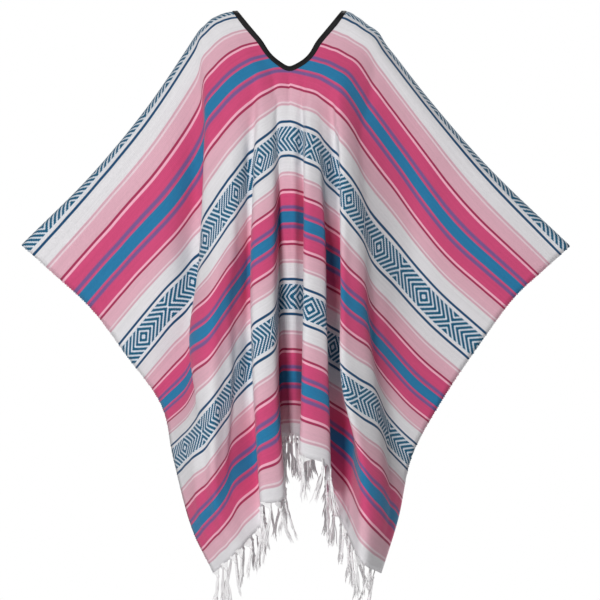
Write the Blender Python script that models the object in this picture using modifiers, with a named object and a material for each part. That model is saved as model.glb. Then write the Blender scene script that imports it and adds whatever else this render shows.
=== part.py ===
"""Serape poncho, worn: one striped woven rectangle folded over the shoulders.

The cloth hangs open and hollow, arms held out and down, with a bound neck opening that
falls to a V in front and behind, and a knotted fringe along each hem. Metres, +Z up, +X to
the right of the front as seen by someone facing it, and the front faces -Y. The origin lies
on top of the shoulders, midway between the two ends of the neck opening.
"""

import math

import bmesh
import bpy
import numpy as np

CM = 0.01

# Driving sizes of the cut cloth, in metres
DROP = 0.860
NECK_REACH = 0.163
WALL = 0.0024
SEAM_GAP = 0.0003

# How the worn cloth lies
SHOULDER_HALF = 0.17
WRIST_HALF = 0.53
ARM_SWEEP = 0.038
BACK_FULLNESS = 0.90

# Side, drop and forward of the foot of the neck's V, in cm
NECK_FOOT = (0.0, 11.0, 5.85)

# Neck binding, a tape folded over the cut edge
TAPE_WIDTH = 0.0085
TAPE_THICK = 0.0009
TAPE_CLEAR = 0.0008

# Fringe along each hem
FRINGE_LENGTH = 0.074
STRAND_WIDTH = 0.0060
STRAND_SPACE = 0.0120
STRIP_HEIGHT = 0.0060
STRIP_THICK = 0.0020
STRIP_CLEAR = 0.0010
WIDEST_ROOT = 0.90

# How the strands differ: each is shorter and leans by a sine of its number
LENGTH_SPREAD = 0.14
LENGTH_TURN = 2.4
STRAND_LEAN = 0.002
LEAN_TURN = 1.7
LEAN_START = 0.6

# Columns: share of a strand's length, and its thickness there as a share of its root's
STRAND_TAPER = ((0.45, 0.92), (1.0, 0.55))

# Distances down the cloth, from the shoulder fold, at which the tables place the folds
LEVELS = (0.0, 0.150, 0.300, 0.450, 0.600, 0.750, 0.860)

# Each row is one fold line of the cloth, from the middle out to the selvage. Its
# columns are: the fold's name, how many faces reach the next fold, the roll
# radius over the shoulder in cm, then one (side, drop, forward) triple in cm for
# each of LEVELS. Side is across the wearer, drop is below the neck, and forward
# is in front of the shoulder and arm line.
RIGHT_FOLDS = (
    ("middle", 1, 3.0, (10.1, 0.0, 0), (1.9, 10.0, 5.5), (0.0, 24.4, 9.2), (0.0, 39.2, 10.6),
     (0.0, 54.2, 11.4), (0.0, 69.3, 11.4), (0.0, 80.3, 11.4)),
    ("floor_crest", 2, 3.0, (11.5, 0.1, 0), (3.3, 10.4, 5.8), (1.0, 24.6, 9.4), (0.8, 39.2, 10.9),
     (0.8, 54.2, 11.8), (1.0, 69.3, 11.9), (1.0, 80.3, 11.8)),
    ("first_tuck", 2, 3.1, (12.2, 0.5, 0), (4.2, 10.6, 6.0), (2.6, 25.3, 8.4), (3.4, 39.7, 8.9),
     (3.8, 54.7, 9.2), (4.0, 69.9, 9.2), (4.2, 81.3, 9.4)),
    ("first_ridge", 2, 3.2, (12.9, 1.0, 0), (5.2, 10.9, 6.4), (3.4, 25.7, 11.8), (3.1, 40.9, 15.8),
     (3.0, 56.1, 19.0), (2.7, 71.4, 20.5), (2.3, 83.9, 21.3)),
    ("first_ridge_end", 2, 3.3, (13.6, 1.4, 0), (6.3, 11.2, 6.8), (5.5, 26.8, 11.2), (6.6, 42.6, 14.7),
     (6.8, 58.0, 17.6), (7.2, 73.7, 19.0), (7.4, 85.7, 19.8)),
    ("valley", 2, 3.4, (14.3, 2.0, 0), (7.2, 11.6, 7.2), (6.8, 28.9, 9.8), (6.5, 46.0, 12.2),
     (6.5, 62.3, 12.6), (7.0, 78.9, 12.2), (7.2, 91.2, 12.2)),
    ("valley_end", 2, 3.5, (15.2, 2.7, 0), (8.5, 12.3, 7.5), (9.3, 31.4, 8.2), (10.3, 48.6, 8.6),
     (10.8, 65.6, 8.2), (11.4, 82.8, 8.8), (10.8, 98.4, 11.6)),
    ("second_ridge", 2, 3.5, (16.2, 3.3, 0), (9.9, 13.1, 7.7), (9.9, 34.2, 13.6), (10.0, 53.6, 18.0),
     (10.1, 70.7, 19.2), (13.7, 87.8, 19.8), (13.3, 103.4, 21.3)),
    ("ridge_face", 1, 3.5, (17.1, 4.1, 0), (11.0, 14.1, 7.6), (12.0, 36.9, 13.4), (12.2, 55.9, 17.1),
     (13.1, 73.2, 17.5), (15.4, 90.3, 19.6), (14.3, 104.3, 21.3)),
    ("ridge_turn", 2, 3.5, (18.4, 6.2, 0), (12.5, 16.2, 7.0), (13.7, 39.5, 12.2), (14.4, 57.8, 15.2),
     (16.3, 75.2, 14.1), (17.3, 92.3, 17.5), (15.0, 104.9, 19.8)),
    ("wing_foot", 2, 3.4, (20.3, 8.6, 0), (14.2, 18.8, 6.1), (15.6, 43.3, 9.8), (15.6, 61.6, 11.0),
     (18.3, 79.4, 8.4), (18.4, 93.9, 15.2), (15.8, 105.3, 17.9)),
    ("wing", 3, 3.2, (27.0, 17.1, 0), (21.1, 28.1, 4.2), (20.7, 48.8, 5.6), (19.6, 66.1, 7.2),
     (20.0, 81.5, 6.8), (19.2, 94.8, 13.3), (16.3, 105.6, 16.3)),
    ("wing_middle", 3, 2.6, (38.2, 29.8, 0), (30.6, 40.7, 2.9), (27.9, 56.6, 3.5), (23.9, 70.7, 5.3),
     (21.7, 83.2, 5.7), (19.9, 95.8, 11.4), (16.8, 105.9, 14.8)),
    ("selvage", 0, 0.9, (53.6, 44.5, 0), (44.1, 53.0, 1.8), (35.9, 63.7, 2.3), (28.6, 74.5, 3.8),
     (23.2, 84.6, 4.9), (20.4, 96.7, 9.5), (17.3, 106.2, 13.3)),
)

LEFT_FOLDS = (
    ("middle", 1, 3.0, (-9.9, 0.0, 0), (-1.8, 9.8, 5.5), (0.0, 24.4, 9.2), (0.0, 39.2, 10.6),
     (0.0, 54.2, 11.4), (0.0, 69.3, 11.4), (0.0, 80.3, 11.4)),
    ("floor_end", 2, 3.0, (-11.3, 0.1, 0), (-3.2, 10.0, 5.8), (-1.5, 24.6, 9.1), (-1.3, 39.3, 10.5),
     (-1.3, 54.3, 11.4), (-1.3, 69.4, 11.2), (-1.4, 80.6, 11.0)),
    ("ridge_foot", 3, 3.1, (-11.9, 0.2, 0), (-4.1, 10.2, 5.9), (-2.1, 25.1, 8.8), (-1.9, 40.0, 10.2),
     (-1.9, 55.3, 11.0), (-1.9, 70.6, 10.9), (-2.0, 82.0, 10.9)),
    ("main_ridge", 2, 3.2, (-12.5, 0.4, 0), (-5.1, 10.5, 6.3), (-3.4, 26.9, 10.8), (-3.1, 43.7, 15.9),
     (-3.0, 60.6, 19.2), (-2.3, 78.5, 20.9), (-1.3, 92.2, 22.0)),
    ("main_ridge_end", 2, 3.3, (-13.1, 0.6, 0), (-6.3, 10.9, 6.7), (-6.2, 29.3, 11.6), (-6.7, 46.4, 16.6),
     (-6.4, 63.1, 20.0), (-5.6, 80.9, 21.5), (-4.8, 92.9, 22.4)),
    ("hollow", 2, 3.4, (-13.7, 0.9, 0), (-7.4, 11.5, 6.8), (-7.2, 31.0, 8.5), (-7.2, 48.5, 10.6),
     (-7.2, 66.5, 12.6), (-6.1, 84.0, 13.8), (-5.0, 96.9, 15.6)),
    ("hollow_end", 2, 3.5, (-14.4, 1.2, 0), (-8.9, 12.4, 7.0), (-9.1, 33.4, 10.0), (-9.6, 52.1, 12.4),
     (-9.9, 69.7, 14.4), (-10.5, 87.6, 16.2), (-7.6, 99.6, 16.8)),
    ("side_ridge", 2, 3.5, (-15.2, 1.8, 0), (-10.5, 13.6, 7.2), (-11.2, 36.5, 11.2), (-11.8, 55.1, 14.9),
     (-11.6, 73.0, 16.5), (-12.0, 90.6, 17.8), (-9.1, 101.3, 17.9)),
    ("side_face", 2, 3.5, (-16.1, 2.7, 0), (-12.7, 15.8, 7.0), (-14.3, 41.2, 11.4), (-15.0, 60.0, 16.8),
     (-14.3, 77.1, 19.2), (-13.7, 93.1, 19.0), (-10.1, 102.2, 17.9)),
    ("side_edge", 2, 3.5, (-16.9, 3.4, 0), (-15.9, 20.0, 6.6), (-16.8, 45.8, 9.2), (-18.6, 62.9, 12.8),
     (-16.0, 79.4, 17.5), (-14.6, 94.2, 17.5), (-10.8, 103.2, 17.5)),
    ("side_tuck", 2, 3.4, (-17.9, 4.8, 0), (-15.8, 25.0, 4.0), (-16.0, 49.6, 5.2), (-17.1, 65.6, 8.4),
     (-17.3, 80.6, 16.2), (-15.4, 95.0, 16.7), (-11.5, 103.7, 17.1)),
    ("wing_foot", 2, 3.4, (-19.6, 7.4, 0), (-17.7, 29.3, 2.4), (-18.4, 51.6, 3.6), (-19.0, 69.9, 6.5),
     (-18.6, 81.9, 14.4), (-16.2, 96.0, 15.8), (-12.2, 104.3, 16.5)),
    ("wing", 2, 3.0, (-27.0, 18.2, 0), (-23.6, 37.6, 4.9), (-22.6, 55.7, 5.6), (-20.7, 71.8, 5.7),
     (-19.8, 83.0, 12.7), (-16.8, 96.7, 14.8), (-12.7, 104.9, 16.0)),
    ("wing_middle", 3, 2.5, (-37.8, 31.2, 0), (-31.2, 45.6, 5.0), (-26.4, 60.4, 6.2), (-22.4, 73.3, 4.8),
     (-20.7, 84.0, 11.0), (-17.4, 97.5, 13.9), (-13.4, 105.5, 15.4)),
    ("selvage", 0, 0.9, (-51.0, 44.3, 0), (-39.3, 54.7, 2.2), (-30.6, 65.6, 4.6), (-24.1, 74.9, 3.8),
     (-21.7, 84.9, 9.5), (-18.0, 98.2, 12.9), (-14.1, 106.0, 14.8)),
)

# Where a fold line's curve is pinned as it rolls over the shoulder
ROLL_END = 0.090
ROLL_KNOTS = (0.012, 0.025, 0.050, ROLL_END)

# Where the mesh has a row of points down the cloth
ROLL_ROWS = (0.0015, 0.010, 0.022, 0.040, 0.065, 0.098, 0.129, 0.154)
BODY_ROWS = (NECK_REACH, 0.215, 0.258, 0.300, 0.350, 0.400, 0.450, 0.500,
             0.550, 0.600, 0.650, 0.700, 0.750, 0.790, 0.826)


def curve_through(knots, points, at):
    """Smooth curve through points at knots: cubic pieces with three-point slopes."""
    knots = np.asarray(knots, float)
    points = np.asarray(points, float)
    step = np.diff(knots)
    chord = np.diff(points, axis=0) / step[:, None]
    slope = np.empty_like(points)
    slope[0] = chord[0]
    slope[-1] = chord[-1]
    weight = (step[1:] / (step[:-1] + step[1:]))[:, None]
    slope[1:-1] = weight * chord[:-1] + (1.0 - weight) * chord[1:]
    at = np.atleast_1d(at)
    piece = np.clip(np.searchsorted(knots, at, side="right") - 1, 0, len(step) - 1)
    s = ((at - knots[piece]) / step[piece])[:, None]
    width = step[piece][:, None]
    start_part = (1.0 + 2.0 * s) * (1.0 - s) ** 2
    end_part = s * s * (3.0 - 2.0 * s)
    start_slope = s * (1.0 - s) ** 2 * width
    end_slope = s * s * (s - 1.0) * width
    return (start_part * points[piece] + end_part * points[piece + 1]
            + start_slope * slope[piece] + end_slope * slope[piece + 1])


def shoulder_roll(row, distance):
    """Point of one fold line above the first level: it rolls over the arm, then falls."""
    radius = row[2] * CM
    top = np.array(row[3]) * CM
    first = np.array(row[4]) * CM
    quarter = radius * math.pi / 2.0
    full_fall = LEVELS[1] - quarter + radius
    if distance < quarter:
        fall = radius * (1.0 - math.cos(distance / radius))
        forward = radius * math.sin(distance / radius)
    else:
        fall = radius + distance - quarter
        part = (distance - quarter) / (LEVELS[1] - quarter)
        forward = radius + (first[2] - radius) * part * part * (3.0 - 2.0 * part)
    share = fall / full_fall
    side, drop = top[:2] + (first[:2] - top[:2]) * share
    return side, drop, forward


def fold_line(row, distances):
    """Side, drop and forward of one fold line at distances down the cloth."""
    knots = [0.0]
    points = [shoulder_roll(row, 0.0)]
    for distance in ROLL_KNOTS:
        knots.append(distance)
        points.append(shoulder_roll(row, distance))
    knots.append(LEVELS[1])
    points.append(np.array(row[4]) * CM)
    if row[0] == "middle":
        knots.append(NECK_REACH)
        points.append(np.array(NECK_FOOT) * CM)
    for level, triple in zip(LEVELS[2:], row[5:]):
        knots.append(level)
        points.append(np.array(triple) * CM)
    rolled = np.array([shoulder_roll(row, min(distance, ROLL_END)) for distance in distances])
    on_roll = (np.asarray(distances) < ROLL_END)[:, None]
    line = np.where(on_roll, rolled, curve_through(knots, points, distances))
    if row[0] == "middle":
        line[:, 0] *= np.asarray(distances) < NECK_REACH
    return line


def section(folds, distances):
    """Points across one half of the cloth, middle to selvage, for each distance down."""
    lines = np.array([fold_line(row, distances) for row in folds])
    result = []
    for across in lines.transpose(1, 0, 2):
        chords = np.linalg.norm(np.diff(across, axis=0), axis=1)
        knots = np.concatenate([[0.0], np.cumsum(np.sqrt(chords))])
        stations = []
        for row, start, end in zip(folds, knots[:-1], knots[1:]):
            stations.extend(np.linspace(start, end, row[1], endpoint=False))
        stations.append(knots[-1])
        result.append(curve_through(knots, across, stations))
    return np.array(result)


def to_world(points, face):
    """World points from side, drop and forward; face is -1 in front and +1 behind."""
    side, drop, forward = np.moveaxis(np.asarray(points), -1, 0)
    outward = np.clip((np.abs(side) - SHOULDER_HALF) / (WRIST_HALF - SHOULDER_HALF), 0.0, 1.0)
    depth = forward if face < 0 else forward * BACK_FULLNESS
    return np.stack([side, ARM_SWEEP * outward + face * depth, -drop], axis=-1)


def panel_points(face):
    """Distances down the cloth, and the left and right halves' points, row by row."""
    distances = np.array((SEAM_GAP / 2.0,) + ROLL_ROWS + BODY_ROWS + (DROP,))
    return distances, [to_world(section(folds, distances), face) for folds in (LEFT_FOLDS, RIGHT_FOLDS)]


def unit(vector):
    """Vector of length one."""
    return vector / np.linalg.norm(vector)


def material(name, colour, roughness):
    """Plain woven finish."""
    finish = bpy.data.materials.new(name)
    finish.use_nodes = True
    shader = finish.node_tree.nodes["Principled BSDF"]
    shader.inputs["Base Color"].default_value = (*colour, 1.0)
    shader.inputs["Roughness"].default_value = roughness
    shader.inputs["Metallic"].default_value = 0.0
    return finish


def add_object(name, mesh, finish, collection):
    """Named object with its own finish, shaded smooth."""
    mesh.materials.append(finish)
    mesh.shade_smooth()
    thing = bpy.data.objects.new(name, mesh)
    collection.objects.link(thing)
    return thing


def sheet_mesh(name, face):
    """Open sheet of one panel: both halves share the middle line below the neck's V."""
    distances, halves = panel_points(face)
    bm = bmesh.new()
    grids = []
    for half, points in enumerate(halves):
        grid = []
        for row, line in enumerate(points):
            verts = []
            for column, point in enumerate(line):
                joined = half == 1 and column == 0 and distances[row] >= NECK_REACH
                verts.append(grids[0][row][0] if joined else bm.verts.new(point))
            grid.append(verts)
        grids.append(grid)
    for half, grid in enumerate(grids):
        turned = (half == 0) == (face < 0)
        for upper, lower in zip(grid[:-1], grid[1:]):
            for column in range(len(upper) - 1):
                corners = [upper[column], upper[column + 1], lower[column + 1], lower[column]]
                bm.faces.new(corners if turned else corners[::-1])
    mesh = bpy.data.meshes.new(name)
    bm.to_mesh(mesh)
    bm.free()
    return mesh


def make_panel(name, face, finish, collection):
    """One half of the folded cloth, as a thin wall of even thickness."""
    panel = add_object(name, sheet_mesh(name, face), finish, collection)
    wall = panel.modifiers.new("wall", "SOLIDIFY")
    wall.thickness = WALL
    wall.offset = 0.0
    return panel


def loft(bm, sections, closed):
    """Quads between matching sections; a run that isn't closed gets flat ends."""
    rings = [[bm.verts.new(point) for point in ring] for ring in sections]
    pairs = list(zip(rings, rings[1:] + rings[:1])) if closed else list(zip(rings[:-1], rings[1:]))
    for ring, following in pairs:
        for corner in range(len(ring)):
            after = (corner + 1) % len(ring)
            bm.faces.new((ring[corner], ring[after], following[after], following[corner]))
    if not closed:
        bm.faces.new(rings[0][::-1])
        bm.faces.new(rings[-1])
    return rings


def solid_mesh(name, bm):
    """Mesh of a closed body whose faces all look outward."""
    bmesh.ops.recalc_face_normals(bm, faces=bm.faces)
    if bm.calc_volume(signed=True) < 0.0:
        bmesh.ops.reverse_faces(bm, faces=bm.faces)
    mesh = bpy.data.meshes.new(name)
    bm.to_mesh(mesh)
    bm.free()
    return mesh


def neck_stations():
    """Edge points round the neck and the way into the cloth at each, in order."""
    distances, (front_left, front_right) = panel_points(-1)
    back_left, back_right = panel_points(1)[1]
    foot_row = int(np.searchsorted(distances, NECK_REACH))
    edges = []
    ways = []
    for this_side, other_side in (((front_left, front_right), (back_left, back_right)),
                                  ((back_right, back_left), (front_right, front_left))):
        foot = this_side[0][foot_row, 0]
        edges.append(foot)
        ways.append(this_side[0][foot_row + 1, 0] - foot)
        for row in range(foot_row - 1, 0, -1):
            edges.append(this_side[1][row, 0])
            ways.append(this_side[1][row, 1] - this_side[1][row, 0])
        top = (this_side[1][0] + other_side[1][0]) / 2.0
        edges.append(top[0])
        ways.append(top[1] - top[0])
        for row in range(1, foot_row):
            edges.append(other_side[1][row, 0])
            ways.append(other_side[1][row, 1] - other_side[1][row, 0])
    return np.array(edges), [unit(way) for way in ways]


def make_binding(finish, collection):
    """Tape folded over the cut edge of the neck, one closed ring of channel section."""
    edges, ways = neck_stations()
    near = WALL / 2.0 + TAPE_CLEAR
    far = near + TAPE_THICK
    lip = TAPE_CLEAR + TAPE_THICK
    profile = ((TAPE_WIDTH, far), (-lip, far), (-lip, -far), (TAPE_WIDTH, -far),
               (TAPE_WIDTH, -near), (-TAPE_CLEAR, -near), (-TAPE_CLEAR, near), (TAPE_WIDTH, near))
    sections = []
    for index, (edge, into) in enumerate(zip(edges, ways)):
        onward = unit(edges[(index + 1) % len(edges)] - edge)
        back = unit(edge - edges[index - 1])
        normal = unit(unit(np.cross(into, onward)) + unit(np.cross(into, back)))
        mitre = 1.0 / math.sqrt(1.0 - float(into @ onward) ** 2)
        sections.append([edge + into * across * mitre + normal * out for across, out in profile])
    bm = bmesh.new()
    loft(bm, sections, closed=True)
    return add_object("neck_binding", solid_mesh("neck_binding", bm), finish, collection)


def hem_stations(face):
    """Hem points, the way down the cloth and the way out of it, selvage to selvage."""
    left, right = panel_points(face)[1]
    hem = np.concatenate([left[-1, :0:-1], right[-1]])
    above = np.concatenate([left[-2, :0:-1], right[-2]])
    downs = []
    outs = []
    runs = [unit(end - start) for start, end in zip(hem[:-1], hem[1:])]
    for index in range(len(hem)):
        before = runs[max(index - 1, 0)]
        after = runs[min(index, len(runs) - 1)]
        fall = hem[index] - above[index]
        out = unit(unit(np.cross(before, fall)) + unit(np.cross(after, fall)))
        outs.append(out)
        downs.append(unit(np.cross(out, before + after)))
    return hem, np.array(downs), np.array(outs)


def make_fringe(name, face, finish, collection):
    """Strip parted from the hem, with the warp ends hanging from it as strands."""
    hem, downs, outs = hem_stations(face)
    sections = []
    roots = []
    since_last = STRAND_SPACE
    for index in range(len(hem) - 1):
        length = np.linalg.norm((hem[index + 1] - hem[index])[:2])
        half_share = STRAND_WIDTH / 2.0 / length
        shares = (0.0,)
        if 2.0 * half_share < WIDEST_ROOT and since_last + length / 2.0 >= STRAND_SPACE:
            roots.append(len(sections) + 1)
            shares = (0.0, 0.5 - half_share, 0.5 + half_share)
            since_last = length / 2.0
        else:
            since_last += length
        for share in shares:
            parts = [values[index] * (1.0 - share) + values[index + 1] * share
                     for values in (hem, downs, outs)]
            sections.append(strip_corners(*parts))
    sections.append(strip_corners(hem[-1], downs[-1], outs[-1]))
    bm = bmesh.new()
    rings = loft(bm, sections, closed=False)
    for number, index in enumerate(roots):
        ring = rings[index]
        following = rings[index + 1]
        root = bm.faces.get((ring[2], ring[3], following[3], following[2]))
        hang_strand(bm, root, number)
    return add_object(name, solid_mesh(name, bm), finish, collection)


def strip_corners(point, down, out):
    """Four corners of the fringe's strip where it hangs below one hem point."""
    top = point + down * STRIP_CLEAR
    bottom = top + down * STRIP_HEIGHT
    half = out * STRIP_THICK / 2.0
    return [top + half, top - half, bottom - half, bottom + half]


def hang_strand(bm, root, number):
    """Four-sided strand drawn down from its root face, tapered and a little aslant."""
    length = FRINGE_LENGTH * (1.0 - LENGTH_SPREAD + LENGTH_SPREAD * math.sin(number * LENGTH_TURN))
    lean = STRAND_LEAN * math.sin(number * LEAN_TURN + LEAN_START)
    middle = np.mean([vert.co for vert in root.verts], axis=0)
    around = [np.array(vert.co) - middle for vert in root.verts]
    face = root
    for share, size in STRAND_TAPER:
        face = bmesh.ops.extrude_discrete_faces(bm, faces=[face])["faces"][0]
        centre = middle + np.array([lean * share, 0.0, -length * share])
        for vert, offset in zip(face.verts, around):
            vert.co = centre + np.array([offset[0], offset[1], offset[2] * (1.0 - share)]) * size


def build():
    """Clear the scene and make every piece."""
    for thing in list(bpy.data.objects):
        bpy.data.objects.remove(thing, do_unlink=True)
    collection = bpy.data.collections.new("serape_poncho")
    bpy.context.scene.collection.children.link(collection)
    front_cloth = material("front_cloth", (0.62, 0.22, 0.35), 0.9)
    back_cloth = material("back_cloth", (0.60, 0.24, 0.36), 0.9)
    black_tape = material("black_tape", (0.01, 0.01, 0.012), 0.8)
    white_yarn = material("white_yarn", (0.80, 0.79, 0.80), 0.95)
    back_yarn = material("back_yarn", (0.78, 0.77, 0.78), 0.95)
    make_panel("front_panel", -1, front_cloth, collection)
    make_panel("back_panel", 1, back_cloth, collection)
    make_binding(black_tape, collection)
    make_fringe("front_fringe", -1, white_yarn, collection)
    make_fringe("back_fringe", 1, back_yarn, collection)


build()
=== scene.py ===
"""Looks of a worn serape poncho: striped handwoven cloth, taped neck and knotted fringe."""

import math

import bmesh
import bpy
import numpy as np
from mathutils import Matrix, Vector


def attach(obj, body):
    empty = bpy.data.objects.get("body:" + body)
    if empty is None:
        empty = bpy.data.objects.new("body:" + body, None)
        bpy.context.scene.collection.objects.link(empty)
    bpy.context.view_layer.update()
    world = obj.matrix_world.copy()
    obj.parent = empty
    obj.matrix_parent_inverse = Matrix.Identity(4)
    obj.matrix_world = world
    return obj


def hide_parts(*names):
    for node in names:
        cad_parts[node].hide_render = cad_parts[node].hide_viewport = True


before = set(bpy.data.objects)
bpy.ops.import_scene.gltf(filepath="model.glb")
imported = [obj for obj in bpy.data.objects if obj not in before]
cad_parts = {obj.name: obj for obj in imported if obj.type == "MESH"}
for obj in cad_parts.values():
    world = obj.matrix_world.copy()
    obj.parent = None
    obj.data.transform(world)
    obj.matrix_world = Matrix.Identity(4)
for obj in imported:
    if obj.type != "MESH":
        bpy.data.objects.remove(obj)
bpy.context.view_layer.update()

# Camera: level with the middle of the garment, straight on and far off, as in the
# photograph. The frame is 600 pixels square, and a pixel is 1.905 mm at the shoulders.
PIXEL = 0.001905
MIDLINE_PX = 289
SHOULDER_PX = 12
FRAME_PX = 600
CAMERA_AWAY = 10.0
SENSOR_MM = 36.0
VIEW_END = 60.0

view_x = (FRAME_PX / 2 - MIDLINE_PX) * PIXEL
view_z = (SHOULDER_PX - FRAME_PX / 2) * PIXEL
lens = bpy.data.cameras.new("camera")
lens.sensor_width = SENSOR_MM
lens.lens = lens.sensor_width * CAMERA_AWAY / (FRAME_PX * PIXEL)
lens.clip_end = VIEW_END
camera = bpy.data.objects.new("camera", lens)
camera.location = (view_x, -CAMERA_AWAY, view_z)
camera.rotation_euler = (math.pi / 2, 0.0, 0.0)
bpy.context.scene.collection.objects.link(camera)
bpy.context.scene.camera = camera
bpy.context.scene.view_settings.view_transform = "Standard"


# Studio: a round pale floor well below the hem, a large soft light high at the front
# left, a weak one at the right and one behind, and an even pale surround.
FLOOR_Z = -1.42
FLOOR_RADIUS = 2.9
FLOOR_SIDES = 96
FLOOR_GREY = (0.8, 0.8, 0.8, 1.0)
FLOOR_ROUGHNESS = 0.9
LIGHT_AIM = Vector((0.0, 0.0, -0.55))
SURROUND = 0.15
BACKDROP = 1.0

# Columns: lamp, its place and its side in metres, its power in watts
LAMPS = (
    ("key", (-1.75, -5.0, 1.45), 1.0, 215.0),
    ("fill", (3.2, -2.6, 0.2), 2.2, 5.0),
    ("back", (1.6, 3.6, 1.7), 1.6, 150.5),
)

for name, place, size, watts in LAMPS:
    lamp = bpy.data.lights.new(name, "AREA")
    lamp.size = size
    lamp.energy = watts
    lamp_object = bpy.data.objects.new(name, lamp)
    lamp_object.location = place
    lamp_object.rotation_euler = (LIGHT_AIM - Vector(place)).to_track_quat("-Z", "Y").to_euler()
    bpy.context.scene.collection.objects.link(lamp_object)

world = bpy.data.worlds.new("studio")
world.use_nodes = True
bpy.context.scene.world = world
sky_nodes = world.node_tree.nodes
sky = sky_nodes["Background"]
sky.inputs["Color"].default_value = (1.0, 1.0, 1.0, 1.0)
ray = sky_nodes.new("ShaderNodeLightPath")
brightness = sky_nodes.new("ShaderNodeMapRange")
brightness.inputs["To Min"].default_value = SURROUND
brightness.inputs["To Max"].default_value = BACKDROP
world.node_tree.links.new(ray.outputs["Is Camera Ray"], brightness.inputs["Value"])
world.node_tree.links.new(brightness.outputs["Result"], sky.inputs["Strength"])

bpy.ops.mesh.primitive_circle_add(vertices=FLOOR_SIDES, radius=FLOOR_RADIUS, fill_type="NGON",
                                  location=(0.0, 0.0, FLOOR_Z))
floor = bpy.context.object
floor.name = "floor"
floor_finish = bpy.data.materials.new("pale_floor")
floor_finish.use_nodes = True
floor_shader = floor_finish.node_tree.nodes["Principled BSDF"]
floor_shader.inputs["Base Color"].default_value = FLOOR_GREY
floor_shader.inputs["Roughness"].default_value = FLOOR_ROUGHNESS
floor.data.materials.append(floor_finish)


# The cloth is one woven length, 1.50 m wide, folded over the shoulders so that 0.86 m
# falls in front and 0.86 m behind. It has the shape of wear: fanned out almost flat to
# each side, and falling from the shoulders in deep upright folds.
MM = 0.001
CM = 0.01
HALF_WIDTH = 0.750
DROP = 0.860
WALL = 0.0024
NECK_HALF = 0.120
NECK_REACH = 0.163
NECK_FOOT = (0.0, 11.0, 5.85)
ROLL_STEPS = (0.0, 0.012, 0.025, 0.050, 0.090)
ROLL_END = ROLL_STEPS[-1]
SHOULDER_HALF = 0.17
WRIST_HALF = 0.53
ARM_SWEEP = 0.038
BACK_FULLNESS = 0.90
GATHER_ZONE = (0.12, 0.21)
CURVE_SAMPLES = 700
LEVELS = (0.0, 0.150, 0.300, 0.450, 0.600, 0.750, 0.860)

# Each row is a fold line from the middle out to the selvage: its name, its roll radius
# over the shoulder in cm, then (side, drop, forward) in cm at each of LEVELS.
RIGHT_FOLDS = (
    ("middle", 3.0, (10.1, 0.0, 0), (1.9, 10.0, 5.5), (0.0, 24.4, 9.2), (0.0, 39.2, 10.6),
     (0.0, 54.2, 11.4), (0.0, 69.3, 11.4), (0.0, 80.3, 11.4)),
    ("floor_crest", 3.0, (11.5, 0.1, 0), (3.3, 10.4, 5.8), (1.0, 24.6, 9.4), (0.8, 39.2, 10.9),
     (0.8, 54.2, 11.8), (1.0, 69.3, 11.9), (1.0, 80.3, 11.8)),
    ("first_tuck", 3.1, (12.2, 0.5, 0), (4.2, 10.6, 6.0), (2.6, 25.3, 8.4), (3.4, 39.7, 8.9),
     (3.8, 54.7, 9.2), (4.0, 69.9, 9.2), (4.2, 81.3, 9.4)),
    ("first_ridge", 3.2, (12.9, 1.0, 0), (5.2, 10.9, 6.4), (3.4, 25.7, 11.8), (3.1, 40.9, 15.8),
     (3.0, 56.1, 19.0), (2.7, 71.4, 20.5), (2.3, 83.9, 21.3)),
    ("first_ridge_end", 3.3, (13.6, 1.4, 0), (6.3, 11.2, 6.8), (5.5, 26.8, 11.2), (6.6, 42.6, 14.7),
     (6.8, 58.0, 17.6), (7.2, 73.7, 19.0), (7.4, 85.7, 19.8)),
    ("valley", 3.4, (14.3, 2.0, 0), (7.2, 11.6, 7.2), (6.8, 28.9, 9.8), (6.5, 46.0, 12.2),
     (6.5, 62.3, 12.6), (7.0, 78.9, 12.2), (7.2, 91.2, 12.2)),
    ("valley_end", 3.5, (15.2, 2.7, 0), (8.5, 12.3, 7.5), (9.3, 31.4, 8.2), (10.3, 48.6, 8.6),
     (10.8, 65.6, 8.2), (11.4, 82.8, 8.8), (10.8, 98.4, 11.6)),
    ("second_ridge", 3.5, (16.2, 3.3, 0), (9.9, 13.1, 7.7), (9.9, 34.2, 13.6), (10.0, 53.6, 18.0),
     (10.1, 70.7, 19.2), (13.7, 87.8, 19.8), (13.3, 103.4, 21.3)),
    ("ridge_face", 3.5, (17.1, 4.1, 0), (11.0, 14.1, 7.6), (12.0, 36.9, 13.4), (12.2, 55.9, 17.1),
     (13.1, 73.2, 17.5), (15.4, 90.3, 19.6), (14.3, 104.3, 21.3)),
    ("ridge_turn", 3.5, (18.4, 6.2, 0), (12.5, 16.2, 7.0), (13.7, 39.5, 12.2), (14.4, 57.8, 15.2),
     (16.3, 75.2, 14.1), (17.3, 92.3, 17.5), (15.0, 104.9, 19.8)),
    ("wing_foot", 3.4, (20.3, 8.6, 0), (14.2, 18.8, 6.1), (15.6, 43.3, 9.8), (15.6, 61.6, 11.0),
     (18.3, 79.4, 8.4), (18.4, 93.9, 15.2), (15.8, 105.3, 17.9)),
    ("wing", 3.2, (27.0, 17.1, 0), (21.1, 28.1, 4.2), (20.7, 48.8, 5.6), (19.6, 66.1, 7.2),
     (20.0, 81.5, 6.8), (19.2, 94.8, 13.3), (16.3, 105.6, 16.3)),
    ("wing_middle", 2.6, (38.2, 29.8, 0), (30.6, 40.7, 2.9), (27.9, 56.6, 3.5), (23.9, 70.7, 5.3),
     (21.7, 83.2, 5.7), (19.9, 95.8, 11.4), (16.8, 105.9, 14.8)),
    ("selvage", 0.9, (53.6, 44.5, 0), (44.1, 53.0, 1.8), (35.9, 63.7, 2.3), (28.6, 74.5, 3.8),
     (23.2, 84.6, 4.9), (20.4, 96.7, 9.5), (17.3, 106.2, 13.3)),
)
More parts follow.
